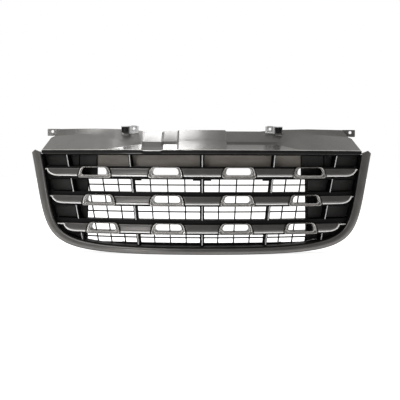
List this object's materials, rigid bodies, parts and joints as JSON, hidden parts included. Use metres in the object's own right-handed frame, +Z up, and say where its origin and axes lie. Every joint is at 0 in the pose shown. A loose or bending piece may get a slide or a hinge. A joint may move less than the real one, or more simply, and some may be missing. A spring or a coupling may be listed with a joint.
{
  "type": "car front grille",
  "caption": "Curved front grille: painted surround and bars of painted blades on a black carrier, with mesh behind, end closing panels and a shut panel on top.",
  "frame": {"origin": "middle of the footprint, at the height of the surround's lowest edge", "axes": "+X to the right seen from the front, +Y to the rear (the front faces -Y), +Z up"},
  "size_m": [1.1096, 0.282, 0.401],
  "materials": {
    "surround_paint": "grey satin paint",
    "bar_paint": "grey satin paint",
    "bezel_plating": "bright satin metallic",
    "carrier_black": "moulded black",
    "mesh_black": "moulded black",
    "panel_grey": "satin dark grey",
    "plate_brown": "dark brown grey gloss",
    "closing_black": "moulded black grey",
    "spring_steel": "bright zinc",
    "screw_steel": "dark zinc"
  },
  "bodies": {
    "root": {"surround": "surround_paint", "carrier_frame": "carrier_black", "carrier_ribs": "carrier_black", "mesh_insert": "mesh_black", "shut_panel": "panel_grey", "upper_louvre": "carrier_black", "middle_louvre": "carrier_black", "lower_louvre": "carrier_black", "upper_bar_blade_1": "bar_paint", "upper_bar_blade_2": "bar_paint", "upper_bar_blade_3": "bar_paint", "upper_bar_blade_4": "bar_paint", "upper_bar_blade_5": "bar_paint", "middle_bar_blade_1": "bar_paint", "middle_bar_blade_2": "bar_paint", "middle_bar_blade_3": "bar_paint", "middle_bar_blade_4": "bar_paint", "middle_bar_blade_5": "bar_paint", "lower_bar_blade_1": "bar_paint", "lower_bar_blade_2": "bar_paint", "lower_bar_blade_3": "bar_paint", "lower_bar_blade_4": "bar_paint", "lower_bar_blade_5": "bar_paint", "upper_slot_bezel_1": "bezel_plating", "upper_slot_bezel_2": "bezel_plating", "upper_slot_bezel_3": "bezel_plating", "upper_slot_bezel_4": "bezel_plating", "middle_slot_bezel_1": "bezel_plating", "middle_slot_bezel_2": "bezel_plating", "middle_slot_bezel_3": "bezel_plating", "middle_slot_bezel_4": "bezel_plating", "lower_slot_bezel_1": "bezel_plating", "lower_slot_bezel_2": "bezel_plating", "lower_slot_bezel_3": "bezel_plating", "lower_slot_bezel_4": "bezel_plating", "blanking_plate": "plate_brown", "left_closing_panel": "closing_black", "right_closing_panel": "closing_black", "left_spring_nut": "spring_steel", "right_spring_nut": "spring_steel", "lower_spring_nuts": "spring_steel", "surround_screws": "screw_steel", "bar_screws": "screw_steel", "mesh_screws": "screw_steel", "blanking_plate_screws": "screw_steel", "closing_panel_screws": "screw_steel", "shut_panel_screws": "screw_steel"}
  },
  "joints": []
}
